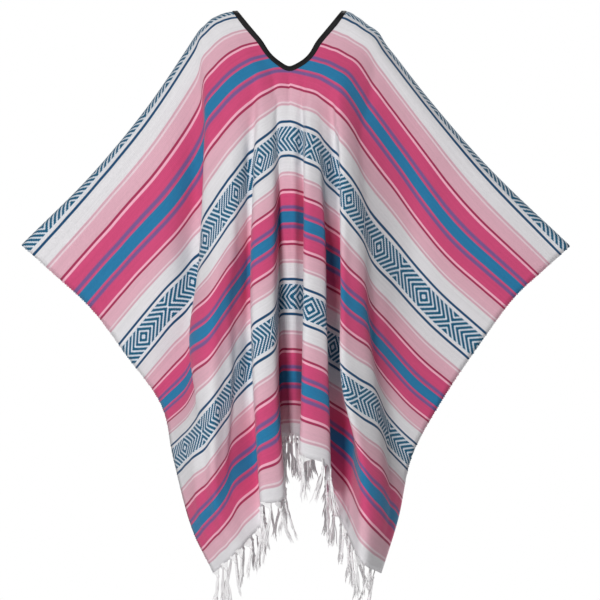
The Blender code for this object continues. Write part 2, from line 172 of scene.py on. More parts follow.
LEFT_FOLDS = (
    ("middle", 3.0, (-9.9, 0.0, 0), (-1.8, 9.8, 5.5), (0.0, 24.4, 9.2), (0.0, 39.2, 10.6),
     (0.0, 54.2, 11.4), (0.0, 69.3, 11.4), (0.0, 80.3, 11.4)),
    ("floor_end", 3.0, (-11.3, 0.1, 0), (-3.2, 10.0, 5.8), (-1.5, 24.6, 9.1), (-1.3, 39.3, 10.5),
     (-1.3, 54.3, 11.4), (-1.3, 69.4, 11.2), (-1.4, 80.6, 11.0)),
    ("ridge_foot", 3.1, (-11.9, 0.2, 0), (-4.1, 10.2, 5.9), (-2.1, 25.1, 8.8), (-1.9, 40.0, 10.2),
     (-1.9, 55.3, 11.0), (-1.9, 70.6, 10.9), (-2.0, 82.0, 10.9)),
    ("main_ridge", 3.2, (-12.5, 0.4, 0), (-5.1, 10.5, 6.3), (-3.4, 26.9, 10.8), (-3.1, 43.7, 15.9),
     (-3.0, 60.6, 19.2), (-2.3, 78.5, 20.9), (-1.3, 92.2, 22.0)),
    ("main_ridge_end", 3.3, (-13.1, 0.6, 0), (-6.3, 10.9, 6.7), (-6.2, 29.3, 11.6), (-6.7, 46.4, 16.6),
     (-6.4, 63.1, 20.0), (-5.6, 80.9, 21.5), (-4.8, 92.9, 22.4)),
    ("hollow", 3.4, (-13.7, 0.9, 0), (-7.4, 11.5, 6.8), (-7.2, 31.0, 8.5), (-7.2, 48.5, 10.6),
     (-7.2, 66.5, 12.6), (-6.1, 84.0, 13.8), (-5.0, 96.9, 15.6)),
    ("hollow_end", 3.5, (-14.4, 1.2, 0), (-8.9, 12.4, 7.0), (-9.1, 33.4, 10.0), (-9.6, 52.1, 12.4),
     (-9.9, 69.7, 14.4), (-10.5, 87.6, 16.2), (-7.6, 99.6, 16.8)),
    ("side_ridge", 3.5, (-15.2, 1.8, 0), (-10.5, 13.6, 7.2), (-11.2, 36.5, 11.2), (-11.8, 55.1, 14.9),
     (-11.6, 73.0, 16.5), (-12.0, 90.6, 17.8), (-9.1, 101.3, 17.9)),
    ("side_face", 3.5, (-16.1, 2.7, 0), (-12.7, 15.8, 7.0), (-14.3, 41.2, 11.4), (-15.0, 60.0, 16.8),
     (-14.3, 77.1, 19.2), (-13.7, 93.1, 19.0), (-10.1, 102.2, 17.9)),
    ("side_edge", 3.5, (-16.9, 3.4, 0), (-15.9, 20.0, 6.6), (-16.8, 45.8, 9.2), (-18.6, 62.9, 12.8),
     (-16.0, 79.4, 17.5), (-14.6, 94.2, 17.5), (-10.8, 103.2, 17.5)),
    ("side_tuck", 3.4, (-17.9, 4.8, 0), (-15.8, 25.0, 4.0), (-16.0, 49.6, 5.2), (-17.1, 65.6, 8.4),
     (-17.3, 80.6, 16.2), (-15.4, 95.0, 16.7), (-11.5, 103.7, 17.1)),
    ("wing_foot", 3.4, (-19.6, 7.4, 0), (-17.7, 29.3, 2.4), (-18.4, 51.6, 3.6), (-19.0, 69.9, 6.5),
     (-18.6, 81.9, 14.4), (-16.2, 96.0, 15.8), (-12.2, 104.3, 16.5)),
    ("wing", 3.0, (-27.0, 18.2, 0), (-23.6, 37.6, 4.9), (-22.6, 55.7, 5.6), (-20.7, 71.8, 5.7),
     (-19.8, 83.0, 12.7), (-16.8, 96.7, 14.8), (-12.7, 104.9, 16.0)),
    ("wing_middle", 2.5, (-37.8, 31.2, 0), (-31.2, 45.6, 5.0), (-26.4, 60.4, 6.2), (-22.4, 73.3, 4.8),
     (-20.7, 84.0, 11.0), (-17.4, 97.5, 13.9), (-13.4, 105.5, 15.4)),
    ("selvage", 0.9, (-51.0, 44.3, 0), (-39.3, 54.7, 2.2), (-30.6, 65.6, 4.6), (-24.1, 74.9, 3.8),
     (-21.7, 84.9, 9.5), (-18.0, 98.2, 12.9), (-14.1, 106.0, 14.8)),
)


def curve_through(knots, points, at):
    """Smooth curve: a cubic piece between knots, its slopes from three neighbouring points."""
    knots = np.asarray(knots, float)
    points = np.asarray(points, float)
    step = np.diff(knots)
    chord = np.diff(points, axis=0) / step[:, None]
    weight = (step[1:] / (step[:-1] + step[1:]))[:, None]
    inner = weight * chord[:-1] + (1.0 - weight) * chord[1:]
    slope = np.concatenate([chord[:1], inner, chord[-1:]])
    piece = np.clip(np.searchsorted(knots, at, side="right") - 1, 0, len(step) - 1)
    s = ((at - knots[piece]) / step[piece])[:, None]
    width = step[piece][:, None]
    return ((1.0 + 2.0 * s) * (1.0 - s) ** 2 * points[piece] + s * s * (3.0 - 2.0 * s) * points[piece + 1]
            + s * (1.0 - s) ** 2 * width * slope[piece] + s * s * (s - 1.0) * width * slope[piece + 1])


def shoulder_roll(row, fall_along):
    """Fold line near the top: a quarter circle over the fold, then a smooth fall to the first level."""
    radius = row[1] * CM
    top = np.array(row[2]) * CM
    first = np.array(row[3]) * CM
    quarter = radius * math.pi / 2.0
    angle = np.minimum(fall_along, quarter) / radius
    beyond = np.maximum(fall_along - quarter, 0.0)
    part = beyond / (LEVELS[1] - quarter)
    fall = radius * (1.0 - np.cos(angle)) + beyond
    forward = radius * np.sin(angle) + (first[2] - radius) * part * part * (3.0 - 2.0 * part)
    share = (fall / (LEVELS[1] - quarter + radius))[:, None]
    return np.concatenate([top[:2] + (first[:2] - top[:2]) * share, forward[:, None]], axis=1)


def fold_line(row, fall_along):
    """Side, drop and forward of one fold line at distances down the cloth."""
    near = np.array(ROLL_STEPS)
    knots = list(near) + [LEVELS[1]]
    points = list(shoulder_roll(row, near)) + [np.array(row[3]) * CM]
    if row[0] == "middle":
        knots.append(NECK_REACH)
        points.append(np.array(NECK_FOOT) * CM)
    knots.extend(LEVELS[2:])
    points.extend(np.array(row[4:]) * CM)
    line = np.where((fall_along < ROLL_END)[:, None],
                    shoulder_roll(row, np.minimum(fall_along, ROLL_END)),
                    curve_through(knots, points, fall_along))
    if row[0] == "middle":
        line[:, 0] *= fall_along < NECK_REACH
    return line


def neck_edge(fall_along):
    """Distance of the neck's cut edge from the middle line: straight from shoulder to the V's foot."""
    return NECK_HALF * np.clip(1.0 - fall_along / NECK_REACH, 0.0, 1.0)


def half_cloth(folds, face, fall_along, columns):
    """Points and distances from the middle line, for one half of one panel.

    Each row is a smooth curve through the fold lines. Distances run along it from the neck's edge to the
    selvage, and the folds between take up what the row is short of the cloth's half width."""
    lines = np.array([fold_line(row, fall_along) for row in folds]).transpose(1, 0, 2)
    fullness = 1.0 if face < 0 else BACK_FULLNESS
    points = []
    reaches = []
    for across, edge in zip(lines, neck_edge(fall_along)):
        chords = np.linalg.norm(np.diff(across, axis=0), axis=1)
        knots = np.concatenate([[0.0], np.cumsum(np.sqrt(chords))])
        curve = curve_through(knots, across, np.linspace(0.0, knots[-1], CURVE_SAMPLES))
        side, drop, forward = curve.T
        outward = np.clip((np.abs(side) - SHOULDER_HALF) / (WRIST_HALF - SHOULDER_HALF), 0.0, 1.0)
        curve = np.stack([side, ARM_SWEEP * outward + face * fullness * forward, -drop], axis=1)
        length = np.linalg.norm(np.diff(curve, axis=0), axis=1)
        gathered = np.interp(np.abs(side[1:]), GATHER_ZONE, (1.0, 0.0))
        missing = HALF_WIDTH - edge - length.sum()
        length = length * (1.0 + gathered * missing / (gathered * length).sum())
        travelled = np.concatenate([[0.0], np.cumsum(length)]) + edge
        travelled *= HALF_WIDTH / travelled[-1]
        share = columns / HALF_WIDTH
        reach = columns + edge * (1.0 - share) ** 2
        points.append(np.stack([np.interp(reach, travelled, curve[:, axis]) for axis in range(3)], axis=1))
        reaches.append(reach)
    return np.array(points), np.array(reaches)


# Creases too small for the fold tables, as soft ridges that stand out, or troughs where the
# height is below zero. Columns: crease, face (-1 front, 1 back), its two ends on the cloth as
# (across, down) in cm from the middle of the shoulder fold, half width in cm, height in mm.
CREASES = (
    ("foot_crease", -1, (0.0, 17.0), (0.2, 25.0), 0.6, -2.2),
    ("floor_crest", -1, (1.1, 22.0), (0.9, 86.0), 0.9, 2.6),
    ("foot_pull_left", -1, (-1.5, 17.6), (-6.0, 26.0), 0.9, 2.0),
    ("foot_pull_right", -1, (1.8, 17.4), (7.5, 27.0), 1.0, 2.0),
    ("hollow_deep_high", -1, (-12.8, 20.0), (-28.3, 46.0), 2.1, -6.5),
    ("hollow_deep_low", -1, (-24.0, 40.0), (-43.5, 70.0), 2.4, -7.5),
    ("side_ridge_high", -1, (-21.0, 20.0), (-37.0, 44.0), 2.0, 3.4),
    ("side_ridge_low", -1, (-37.0, 40.0), (-58.0, 76.0), 2.2, 4.0),
    ("valley_deep_high", -1, (18.2, 20.0), (30.0, 45.0), 2.1, -8.0),
    ("valley_deep_low", -1, (26.0, 38.0), (47.5, 80.0), 2.1, -8.0),
    ("chest_trough_right", -1, (13.5, 16.0), (20.5, 34.0), 1.4, -3.4),
    ("left_wing_trough", -1, (-38.0, 9.0), (-57.0, 40.0), 3.0, -5.0),
    ("left_wing_ridge", -1, (-51.0, 8.0), (-66.0, 52.0), 4.2, 6.5),
    ("left_wing_high", -1, (-58.0, 7.0), (-70.0, 24.0), 2.4, -3.0),
    ("left_shoulder", -1, (-22.5, 4.0), (-31.0, 20.0), 1.6, -2.8),
    ("left_hem_ripple", -1, (-66.0, 58.0), (-72.0, 84.0), 1.3, 3.0),
    ("right_shoulder", -1, (22.0, 4.0), (30.0, 20.0), 1.6, -2.6),
    ("right_wing_high", -1, (38.0, 6.0), (60.0, 22.0), 2.8, 3.0),
    ("right_wing_trough", -1, (44.0, 15.0), (66.0, 38.0), 3.0, -3.6),
    ("right_wing_low", -1, (50.0, 30.0), (68.0, 66.0), 2.6, 3.2),
    ("right_ridge_dent", -1, (33.0, 30.0), (50.0, 56.0), 1.6, -2.6),
    ("right_hem_ripple", -1, (67.0, 58.0), (72.0, 85.0), 1.3, -3.0),
    ("back_foot_crease", 1, (0.0, 17.0), (-0.3, 27.0), 0.7, 2.4),
    ("back_floor_crest", 1, (0.7, 24.0), (1.0, 80.0), 1.0, -2.4),
    ("back_hollow_high", 1, (-12.0, 22.0), (-27.0, 48.0), 1.6, -3.2),
    ("back_side_ridge", 1, (-36.0, 36.0), (-57.0, 74.0), 2.1, 3.6),
    ("back_valley_high", 1, (15.0, 22.0), (26.0, 46.0), 1.5, -3.0),
    ("back_valley_low", 1, (24.0, 40.0), (43.0, 78.0), 1.7, -4.0),
    ("back_left_wing_trough", 1, (-40.0, 10.0), (-60.0, 36.0), 2.8, -4.2),
    ("back_left_wing_ridge", 1, (-52.0, 10.0), (-67.0, 50.0), 3.6, 4.6),
    ("back_right_wing_high", 1, (36.0, 7.0), (58.0, 24.0), 2.7, 3.4),
    ("back_right_wing_trough", 1, (46.0, 17.0), (67.0, 44.0), 3.1, -3.8),
    ("back_right_hem_ripple", 1, (66.0, 56.0), (71.0, 84.0), 1.4, 2.8),
)


def crease_height(face, across, down):
    """Sum of one face's creases, each a soft bump across its line that fades out at both ends.

    height = rise * sin(pi * share) * exp(-(away / half_width) ** 2)"""
    height = np.zeros_like(across)
    for _, crease_face, start, end, half_width, rise in CREASES:
        if crease_face == face:
            (across_0, down_0), (across_1, down_1) = np.array(start) * CM, np.array(end) * CM
            length = math.hypot(across_1 - across_0, down_1 - down_0)
            way_across = (across_1 - across_0) / length
            way_down = (down_1 - down_0) / length
            share = ((across - across_0) * way_across + (down - down_0) * way_down) / length
            away = (across - across_0) * way_down - (down - down_0) * way_across
            fade = np.sin(math.pi * np.clip(share, 0.0, 1.0))
            height += rise * MM * fade * np.exp(-(away / (half_width * CM)) ** 2)
    return height


def woven_length(rows, columns):
    """Points and cloth coordinates of both halves, from the front hem over the shoulders to the back."""
    halves = []
    for folds, side in ((LEFT_FOLDS, -1.0), (RIGHT_FOLDS, 1.0)):
        front, front_reach = half_cloth(folds, -1.0, rows[::-1], columns)
        back, back_reach = half_cloth(folds, 1.0, rows[1:], columns)
        points = np.concatenate([front, back])
        across = side * np.concatenate([front_reach, back_reach])
        along = np.concatenate([-rows[::-1], rows[1:]])[:, None] + 0.0 * across
        out = side * np.cross(np.gradient(points, axis=1), np.gradient(points, axis=0))
        out /= np.linalg.norm(out, axis=2, keepdims=True)
        height = np.where(along < 0.0, crease_height(-1, across, -along), crease_height(1, across, along))
        halves.append((points + out * height[:, :, None], np.stack([across, along], axis=2)))
    return halves


def joined_grid(halves, open_rows):
    """Vertices, quads and cloth coordinates of two half grids, which share their middle column.

    At open_rows, where the neck is cut, each half keeps its own edge."""
    rows, columns = halves[0][0].shape[:2]
    left = np.arange(rows * columns).reshape(rows, columns)
    right = left + rows * columns
    right[~open_rows, 0] = left[~open_rows, 0]
    points = np.concatenate([half[0].reshape(-1, 3) for half in halves])
    cloth = np.concatenate([half[1].reshape(-1, 2) for half in halves])
    quads = []
    for grid, turned in ((left, True), (right, False)):
        corners = [grid[:-1, :-1], grid[:-1, 1:], grid[1:, 1:], grid[1:, :-1]]
        quads.append(np.stack(corners[::-1] if turned else corners, axis=2).reshape(-1, 4))
    quads = np.concatenate(quads)
    used, quads = np.unique(quads, return_inverse=True)
    return points[used], quads.reshape(-1, 4), cloth[used]


def mesh_object(name, points, faces, finish, uv=None):
    """Object at the origin with a smooth mesh, and a UV map of cloth coordinates in metres."""
    mesh = bpy.data.meshes.new(name)
    mesh.from_pydata(points, [], faces.tolist())
    if uv is not None:
        loops = np.empty(len(mesh.loops), int)
        mesh.loops.foreach_get("vertex_index", loops)
        mesh.uv_layers.new(name="cloth").data.foreach_set("uv", uv[loops].astype(np.float32).ravel())
    mesh.materials.append(finish)
    mesh.shade_smooth()
    thing = bpy.data.objects.new(name, mesh)
    bpy.context.scene.collection.objects.link(thing)
    return thing


class Wire:
    """A number in a shader tree, so that maths on it reads as an expression."""

    def __init__(self, finish, socket):
        self.finish = finish
        self.socket = socket

    def maths(self, operation, *others):
        """This number and others through one of Blender's maths operations."""
        node = self.finish.node("ShaderNodeMath", {"operation": operation},
                                dict(enumerate((self, *others))))
        return Wire(self.finish, node.outputs[0])

    def __add__(self, other):
        return self.maths("ADD", other)

    def __sub__(self, other):
        return self.maths("SUBTRACT", other)

    def __mul__(self, other):
        return self.maths("MULTIPLY", other)

    def __truediv__(self, other):
        return self.maths("DIVIDE", other)

    def __mod__(self, other):
        return self.maths("FLOORED_MODULO", other)

    def __lt__(self, other):
        return self.maths("LESS_THAN", other)

    def __gt__(self, other):
        return self.maths("GREATER_THAN", other)

    __radd__ = __add__


class Finish:
    """A material under construction: its tree, its shader and one way to add any node."""

    def __init__(self, name, roughness):
        self.material = bpy.data.materials.new(name)
        self.material.use_nodes = True
        self.tree = self.material.node_tree
        self.shader = self.tree.nodes["Principled BSDF"]
        self.shader.inputs["Roughness"].default_value = roughness

    def node(self, kind, settings=None, inputs=None):
        """Adds a node: its settings first (stops are a ramp's), then values or links of its sockets."""
        node = self.tree.nodes.new(kind)
        for key, value in (settings or {}).items():
            if key == "stops":
                while len(node.color_ramp.elements) < len(value):
                    node.color_ramp.elements.new(1.0)
                for element, (place, colour) in zip(node.color_ramp.elements, value):
                    element.position = place
                    element.color = (*colour, 1.0)
            else:
                setattr(node, key, value)
        for key, value in (inputs or {}).items():
            self.feed(node.inputs[key], value)
        return node

    def feed(self, socket, value):
        """Sets a socket, or links it where the value comes from another node."""
        if isinstance(value, Wire):
            self.tree.links.new(value.socket, socket)
        elif isinstance(value, bpy.types.NodeSocket):
            self.tree.links.new(value, socket)
        else:
            socket.default_value = value

    def cloth_coordinates(self):
        """Distance across and along the woven cloth, in metres."""
        uv = self.node("ShaderNodeUVMap", {"uv_map": "cloth"})
        split = self.node("ShaderNodeSeparateXYZ", None, {0: uv.outputs[0]})
        return Wire(self, split.outputs[0]), Wire(self, split.outputs[1])

    def noise(self, across, along, cells, detail=2.0):
        """Soft noise on the cloth, with so many cells to the metre across and along."""
        place = self.node("ShaderNodeCombineXYZ", None, {0: across * cells[0], 1: along * cells[1]})
        cloud = self.node("ShaderNodeTexNoise", None,
                          {"Vector": place.outputs[0], "Scale": 1.0, "Detail": detail})
        return Wire(self, cloud.outputs["Fac"])

    def mix(self, factor, first, second, blend="MIX"):
        """Two colours mixed by a factor."""
        node = self.node("ShaderNodeMix", {"data_type": "RGBA", "blend_type": blend})
        self.feed(node.inputs[0], factor)
        for socket, value in ((node.inputs[6], first), (node.inputs[7], second)):
            self.feed(socket, (*value, 1.0) if isinstance(value, tuple) else value)
        return node.outputs[2]

    def bump(self, height, strength, distance):
        """Raises the surface by a height, at a strength, over a distance in metres."""
        node = self.node("ShaderNodeBump", None,
                         {"Strength": strength, "Distance": distance, "Height": height})
        self.feed(self.shader.inputs["Normal"], node.outputs[0])

    def set_values(self, values):
        """Sets uniform values on the shader's sockets."""
        for key, value in values.items():
            self.shader.inputs[key].default_value = value


def dye(red, green, blue):
    """Linear colour of a yarn from its display values, 0 to 255."""
    shares = (value / 255.0 for value in (red, green, blue))
    return tuple(share / 12.92 if share <= 0.04045 else ((share + 0.055) / 1.055) ** 2.4 for share in shares)


# Yarn colours of the cloth, and the stripes across it. The stripes mirror about the middle
# of each diamond band and of each blue band, which lie 150 mm apart down the cloth.
HOT_PINK = dye(214, 80, 126)
ROSE_PINK = dye(228, 178, 193)
WHITE_YARN = dye(232, 230, 233)
BAND_WHITE = dye(216, 224, 234)
PALE_LINE = dye(238, 214, 222)
DEEP_LINE = dye(172, 52, 92)
LIGHT_LINE = dye(250, 184, 205)
DUSTY_LINE = dye(218, 172, 186)
LAKE_BLUE = dye(44, 126, 172)
NAVY_BLUE = dye(24, 76, 116)
TEAL_BLUE = dye(34, 112, 140)
SLATE_LINE = dye(126, 94, 150)
BAND_SPACING = 0.150

# Columns: stripe, where it ends in mm from the middle of the diamond band, how far it blends
# with the next stripe in mm, and its yarn
STRIPES = (
    ("ground", 24.5, 0.6, BAND_WHITE),
    ("margin", 30.2, 0.4, WHITE_YARN),
    ("border_line", 35.2, 0.4, NAVY_BLUE),
    ("white", 63.2, 0.8, WHITE_YARN),
    ("dusty", 67.2, 0.5, DUSTY_LINE),
    ("pale", 70.6, 0.5, PALE_LINE),
    ("rose", 96.2, 0.4, ROSE_PINK),
    ("deep", 100.6, 0.3, DEEP_LINE),
    ("light", 105.0, 0.4, LIGHT_LINE),
    ("hot", 127.9, 1.2, HOT_PINK),
    ("slate", 134.8, 1.2, SLATE_LINE),
    ("hot_line", 139.0, 1.0, HOT_PINK),
    ("blue", 150.0, 0.0, LAKE_BLUE),
)

# The stepped diamonds: nested rings on a square count of threads, mirrored in each cell
COUNT = 0.00234
CELL_COUNTS = 31
BAND_COUNTS = 10
RING_COUNTS = 5
INKED_FROM = 1.5
FIRST_DIAMOND = 0.027

# The weave: the pitch of its ribs and picks, how far the stripes wander, the cells to the
# metre of each noise (across, along), and what each adds to the yarn's shade and relief
RIB_PITCH = 0.0024
PICK_PITCH = 0.0013
STRIPE_DRIFT = 0.0014
DRIFT_CELLS = (14.0, 6.0)
SLUB_CELLS = (120.0, 700.0)
STREAK_CELLS = (5.0, 230.0)
PATCH_CELLS = (5.0, 4.0)
SHADE_LEVEL = 0.77
STREAK_SHADE = 0.20
SLUB_SHADE = 0.16
PATCH_SHADE = 0.10
RIB_RELIEF = 0.5
PICK_RELIEF = 0.3
SLUB_RELIEF = 1.2
STREAK_RELIEF = 0.8
WEAVE_STRENGTH = 0.5
WEAVE_DEPTH = 0.0005


def stripe_stops():
    """Ramp stops with a short blend where one stripe's yarn meets the next."""
    stops = [(0.0, STRIPES[0][3])]
    for (_, end, blend, yarn), (_, _, _, following) in zip(STRIPES[:-1], STRIPES[1:]):
        stops.append(((end - blend) * MM / BAND_SPACING, yarn))
        stops.append(((end + blend) * MM / BAND_SPACING, following))
    return stops


def woven_stripes(name):
    """Finish of the woven cloth: stripes, stepped diamonds, yarn streaks and a ribbed weave.

    Both patterns fold the cloth's coordinates back and forth, as PINGPONG does. A diamond is
    inked where (steps from its centre + steps from the band's middle) mod RING_COUNTS is high."""
    finish = Finish(name, 0.92)
    across, along = finish.cloth_coordinates()
    drift = (finish.noise(across, along, DRIFT_CELLS) - 0.5) * STRIPE_DRIFT
    from_band = (along + drift).maths("PINGPONG", BAND_SPACING)
    stripes = finish.node("ShaderNodeValToRGB", {"stops": stripe_stops()}, {0: from_band / BAND_SPACING})

    from_centre = (across - FIRST_DIAMOND + drift).maths("PINGPONG", COUNT * CELL_COUNTS)
    ring = (from_centre / COUNT).maths("FLOOR") + (from_band / COUNT).maths("FLOOR")
    inked = ((ring % RING_COUNTS) > INKED_FROM) * (from_band < COUNT * BAND_COUNTS)
    slubs = finish.noise(across, along, SLUB_CELLS)
    ink = finish.mix(slubs.maths("PINGPONG", 1.0), NAVY_BLUE, TEAL_BLUE)
    colour = finish.mix(inked, stripes.outputs[0], ink)

    streaks = finish.noise(across, along, STREAK_CELLS, 3.0)
    patches = finish.noise(across, along, PATCH_CELLS, 3.0)
    shade = SHADE_LEVEL + streaks * STREAK_SHADE + slubs * SLUB_SHADE + patches * PATCH_SHADE
    tone = finish.node("ShaderNodeCombineColor", None, {0: shade, 1: shade, 2: shade})
    colour = finish.mix(1.0, colour, tone.outputs[0], "MULTIPLY")
    finish.feed(finish.shader.inputs["Base Color"], colour)

    ribs = (across * (math.tau / RIB_PITCH)).maths("SINE")
    picks = (along * (math.tau / PICK_PITCH)).maths("SINE")
    relief = ribs * RIB_RELIEF + picks * PICK_RELIEF + slubs * SLUB_RELIEF + streaks * STREAK_RELIEF
    finish.bump(relief, WEAVE_STRENGTH, WEAVE_DEPTH)
    finish.set_values({"Sheen Weight": 0.15, "Sheen Roughness": 0.5, "Specular IOR Level": 0.15})
    return finish.material


ROW_STEP = 0.008
FOLD_STEP = 0.0052
WING_STEP = 0.010
FOLDED_HALF = 0.470
ABOVE_FOOT = (0.0045, 0.0020, 0.0006)
HAIR = 1e-6

neck_rows = np.linspace(0.0, NECK_REACH, int(NECK_REACH / ROW_STEP) + 1)
foot_rows = NECK_REACH - np.array(ABOVE_FOOT)
lower_rows = np.linspace(NECK_REACH, DROP, int((DROP - NECK_REACH) / ROW_STEP) + 1)
fall_rows = np.concatenate([neck_rows[:-1], foot_rows, lower_rows])
wing_columns = np.linspace(FOLDED_HALF, HALF_WIDTH, int((HALF_WIDTH - FOLDED_HALF) / WING_STEP))
columns = np.concatenate([np.arange(0.0, FOLDED_HALF, FOLD_STEP), wing_columns])
halves = woven_length(fall_rows, columns)
signed_rows = np.concatenate([-fall_rows[::-1], fall_rows[1:]])
cloth_points, cloth_quads, cloth_uv = joined_grid(halves, np.abs(signed_rows) < NECK_REACH - HAIR)
cloth = mesh_object("woven_cloth", cloth_points, cloth_quads, woven_stripes("serape_cloth"), cloth_uv)
wall = cloth.modifiers.new("wall", "SOLIDIFY")
wall.thickness = WALL
wall.offset = 0.0

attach(cloth, "root")
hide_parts("front_panel", "back_panel")


# Neck binding: a black woven tape, folded in half over the cut edge of the neck and sewn
# through with a row of stitches near its free edges. It runs round the whole opening.
TAPE_WIDTH = 0.0092
TAPE_THICK = 0.0009
TAPE_BLACK = dye(5, 4, 6)
TAPE_WORN = dye(38, 35, 40)
TAPE_CLEAR = 0.0007
STITCH_SPACING = 0.0026
STITCH_SHARE = 0.7
STITCH_LINE = 0.82
STITCH_HALF = 0.0005
TWILL_PITCH = 0.0011
TWILL_RELIEF = 0.25
TWILL_STRENGTH = 0.6
TWILL_DEPTH = 0.0004
WEAR_CELLS = (60.0, 220.0)
WEAR_SHARE = 0.25
STITCH_TONE = 0.25
TAPE_STEP = 0.0028
TURN_POINTS = 9
ROUNDING_PASSES = 4

# Columns: how far in a point of the flat leaf lies, as a share of the tape's width, and how
# far out, as a share of the leaf's own height
LEAF_POINTS = ((0.55, 1.0), (0.94, 1.0), (1.0, 0.75))


def lengths_of(vectors):
    """Length of each vector in the last axis, kept as a column."""
    return np.linalg.norm(vectors, axis=-1, keepdims=True)


def neck_loop():
    """Edge points round the neck and the way into the cloth at each, clockwise from the front V's foot."""
    rows = np.linspace(0.0, NECK_REACH, int(NECK_REACH / TAPE_STEP) + 1)
    beside = np.array([0.0, TAPE_WIDTH])
    below = np.array([NECK_REACH + TAPE_WIDTH])
    edges = []
    inwards = []
    for face, folds in ((-1.0, RIGHT_FOLDS), (1.0, RIGHT_FOLDS), (1.0, LEFT_FOLDS), (-1.0, LEFT_FOLDS)):
        points, _ = half_cloth(folds, face, rows, beside)
        foot, _ = half_cloth(folds, face, below, beside)
        edge = points[:, 0]
        inward = points[:, 1] - edge
        inward[-1] = foot[0, 0] - edge[-1]
        rising = (face < 0) == (folds is RIGHT_FOLDS)
        order = slice(None, 0, -1) if rising else slice(None, -1)
        edges.append(edge[order])
        inwards.append(inward[order])
    edges = np.concatenate(edges)
    inwards = np.concatenate(inwards)
    for _ in range(ROUNDING_PASSES):
        edges = edges / 2.0 + (np.roll(edges, 1, axis=0) + np.roll(edges, -1, axis=0)) / 4.0
        inwards = inwards / 2.0 + (np.roll(inwards, 1, axis=0) + np.roll(inwards, -1, axis=0)) / 4.0
    return edges, inwards / lengths_of(inwards)


def tape_profile():
    """Section of the tape as (inward, outward): a flattened half round over the edge, and two leaves."""
    near = WALL / 2.0 + TAPE_CLEAR
    far = near + TAPE_THICK
    turn = np.linspace(math.pi / 2.0, 1.5 * math.pi, TURN_POINTS)
    outer = np.stack([(TAPE_CLEAR + TAPE_THICK) * np.cos(turn), far * np.sin(turn)], axis=1)
    inner = np.stack([TAPE_CLEAR * np.cos(turn), near * np.sin(turn)], axis=1)[::-1]
    leaf = np.array(LEAF_POINTS) * (TAPE_WIDTH, 1.0)
    return np.concatenate([leaf[::-1] * (1.0, far), outer, leaf * (1.0, -far),
                           leaf[::-1] * (1.0, -near), inner, leaf * (1.0, near)])


def swept_ring(edges, inwards, profile):
    """Closed ring: the profile carried round a loop, square to its run and lying in the cloth beside it."""
    onward = np.roll(edges, -1, axis=0) - np.roll(edges, 1, axis=0)
    normal = np.cross(inwards, onward)
    inward = np.cross(onward, normal)
    normal /= lengths_of(normal)
    inward /= lengths_of(inward)
    points = (edges[:, None, :] + profile[:, 0][None, :, None] * inward[:, None, :]
              + profile[:, 1][None, :, None] * normal[:, None, :])
    rings, sides = points.shape[:2]
    index = np.arange(rings * sides).reshape(rings, sides)
    after = np.roll(index, -1, axis=0)
    quads = np.stack([index, np.roll(index, -1, axis=1), np.roll(after, -1, axis=1), after], axis=2)
    along = np.concatenate([[0.0], np.cumsum(np.linalg.norm(np.diff(edges, axis=0), axis=1))])
    uv = np.stack([np.repeat(along, sides), np.tile(profile[:, 0], rings)], axis=1)
    return points.reshape(-1, 3), quads.reshape(-1, 4), uv


def outward(thing):
    """Turns a closed piece's faces to look out."""
    tool = bmesh.new()
    tool.from_mesh(thing.data)
    bmesh.ops.recalc_face_normals(tool, faces=tool.faces)
    if tool.calc_volume(signed=True) < 0.0:
        bmesh.ops.reverse_faces(tool, faces=tool.faces)
    tool.to_mesh(thing.data)
    tool.free()


def black_twill(name):
    """Finish of the tape: near-black twill with a row of sunken stitches by its free edges."""
    finish = Finish(name, 0.62)
    across, along = finish.cloth_coordinates()
    twill = ((across + along) * (math.tau / TWILL_PITCH)).maths("SINE")
    wear = finish.noise(across, along, WEAR_CELLS)
    on_line = (along - TAPE_WIDTH * STITCH_LINE).maths("ABSOLUTE") < STITCH_HALF
    stitch = ((across / STITCH_SPACING).maths("FRACT") < STITCH_SHARE) * on_line
    colour = finish.mix(wear * WEAR_SHARE + stitch * STITCH_TONE, TAPE_BLACK, TAPE_WORN)
    finish.feed(finish.shader.inputs["Base Color"], colour)
    finish.bump(twill * TWILL_RELIEF + wear - stitch, TWILL_STRENGTH, TWILL_DEPTH)
    finish.set_values({"Sheen Weight": 0.1, "Specular IOR Level": 0.3})
    return finish.material


edges, inwards = neck_loop()
tape_points, tape_quads, tape_uv = swept_ring(edges, inwards, tape_profile())
tape = mesh_object("neck_tape", tape_points, tape_quads, black_twill("black_tape"), tape_uv)
outward(tape)
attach(tape, "root")
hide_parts("neck_binding")


# Selvages: the weft yarns turn back at both side edges in small loops, which take the
# colour of the stripe that they belong to and make the edge a little rough.
LOOP_SPACING = 0.0052
LOOP_INSIDE = 0.0012
LOOP_OUTSIDE = 0.0016
WEFT_RADIUS = 0.00075
LOOP_STEPS = 6
LOOP_SIDES = 4
LOOP_SPREAD = (0.35, 1.25)
LOOP_SEED = 7
TUBE_ASIDE = (0.3, 1.0, 0.1)


def ring_quads(count, steps, sides):
    """Quads between the rings of many tubes: each tube has so many steps, each step so many sides."""
    index = np.arange(count * steps * sides).reshape(count, steps, sides)
    around = np.roll(index, -1, axis=2)
    return np.stack([index[:, :-1], around[:, :-1], around[:, 1:], index[:, 1:]], axis=3).reshape(-1, 4)


def tubes(paths, radii, sides):
    """Round tubes along many paths at once: a ring of points about every point of each path."""
    count, steps = paths.shape[:2]
    run = np.gradient(paths, axis=1)
    run /= lengths_of(run)
    first = np.cross(run, np.array(TUBE_ASIDE))
    first /= lengths_of(first)
    second = np.cross(run, first)
    turn = np.arange(sides) * math.tau / sides
    ring = first[:, :, None] * np.cos(turn)[:, None] + second[:, :, None] * np.sin(turn)[:, None]
    points = paths[:, :, None] + ring * radii[:, :, None, None]
    return points.reshape(-1, 3), ring_quads(count, steps, sides)


